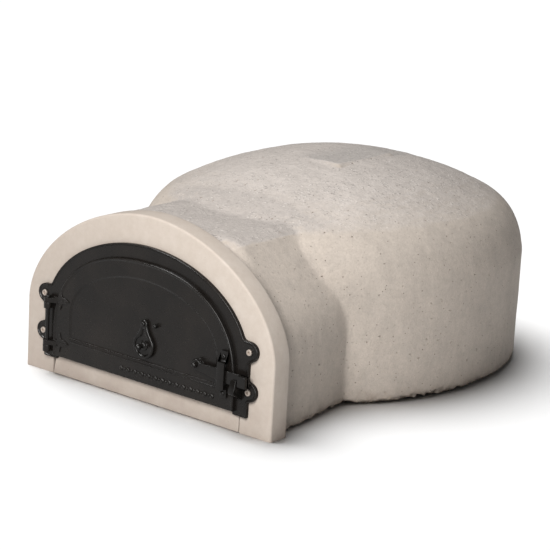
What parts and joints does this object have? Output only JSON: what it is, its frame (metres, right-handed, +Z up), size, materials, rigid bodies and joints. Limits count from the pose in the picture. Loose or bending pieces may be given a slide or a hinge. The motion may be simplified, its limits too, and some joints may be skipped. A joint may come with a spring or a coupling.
{
  "type": "wood fired pizza oven",
  "caption": "Modular wood fired oven: cast refractory dome with a neck, arched front, slab hearth and a hinged cast iron door with a drop latch and a swinging vent cover.",
  "frame": {"origin": "underside of the hearth, below the middle of the dome", "axes": "+Z up, the door faces -Y, +X is to the right of someone facing the door"},
  "size_m": [0.8114, 1.1119, 0.4495],
  "materials": {
    "dome_casting": "rough cast",
    "arch_casting": "smooth cast",
    "mortar": "matt",
    "hearth_tile": "matt fired",
    "cast_iron": "satin black stove paint",
    "black_fittings": "satin black stove paint",
    "screw_plating": "zinc plated",
    "anchor_steel": "zinc plated"
  },
  "bodies": {
    "root": {"dome_shell": "dome_casting", "hearth_front": "hearth_tile", "hearth_middle": "hearth_tile", "hearth_rear": "hearth_tile", "throat_floor": "hearth_tile", "arch_mortar_bed": "mortar", "front_arch": "arch_casting", "arch_sill": "arch_casting", "door_frame": "cast_iron", "frame_screw_lower_left": "screw_plating", "frame_screw_lower_right": "screw_plating", "frame_screw_upper_left": "screw_plating", "frame_screw_upper_right": "screw_plating", "screw_anchor_lower_left": "anchor_steel", "screw_anchor_lower_right": "anchor_steel", "screw_anchor_upper_left": "anchor_steel", "screw_anchor_upper_right": "anchor_steel", "hinge_pin": "black_fittings", "latch_keeper": "black_fittings"},
    "door": {"door_leaf": "cast_iron", "latch_guide": "black_fittings", "guide_rivet_upper": "black_fittings", "guide_rivet_lower": "black_fittings", "lever_pivot_rivet": "black_fittings", "cover_pivot_rivet": "black_fittings", "cover_rest_pin": "black_fittings"},
    "latch": {"latch_lever": "black_fittings"},
    "vent": {"vent_cover": "black_fittings", "vent_cover_knob": "black_fittings"}
  },
  "joints": [
    {"name": "door_swing", "type": "hinge", "parent": "root", "child": "door", "pos_m": [-0.266, -0.635, 0.11], "axis": [0, 0, -1], "range_deg": [0, 160]},
    {"name": "latch_lift", "type": "hinge", "parent": "door", "child": "latch", "pos_m": [0.157, -0.639, 0.1234], "axis": [0, -1, 0], "range_deg": [0, 8.8]},
    {"name": "vent_swing", "type": "hinge", "parent": "door", "child": "vent", "pos_m": [0.009, -0.634, 0.1734], "axis": [0, -1, 0], "range_deg": [-220, 45]}
  ]
}
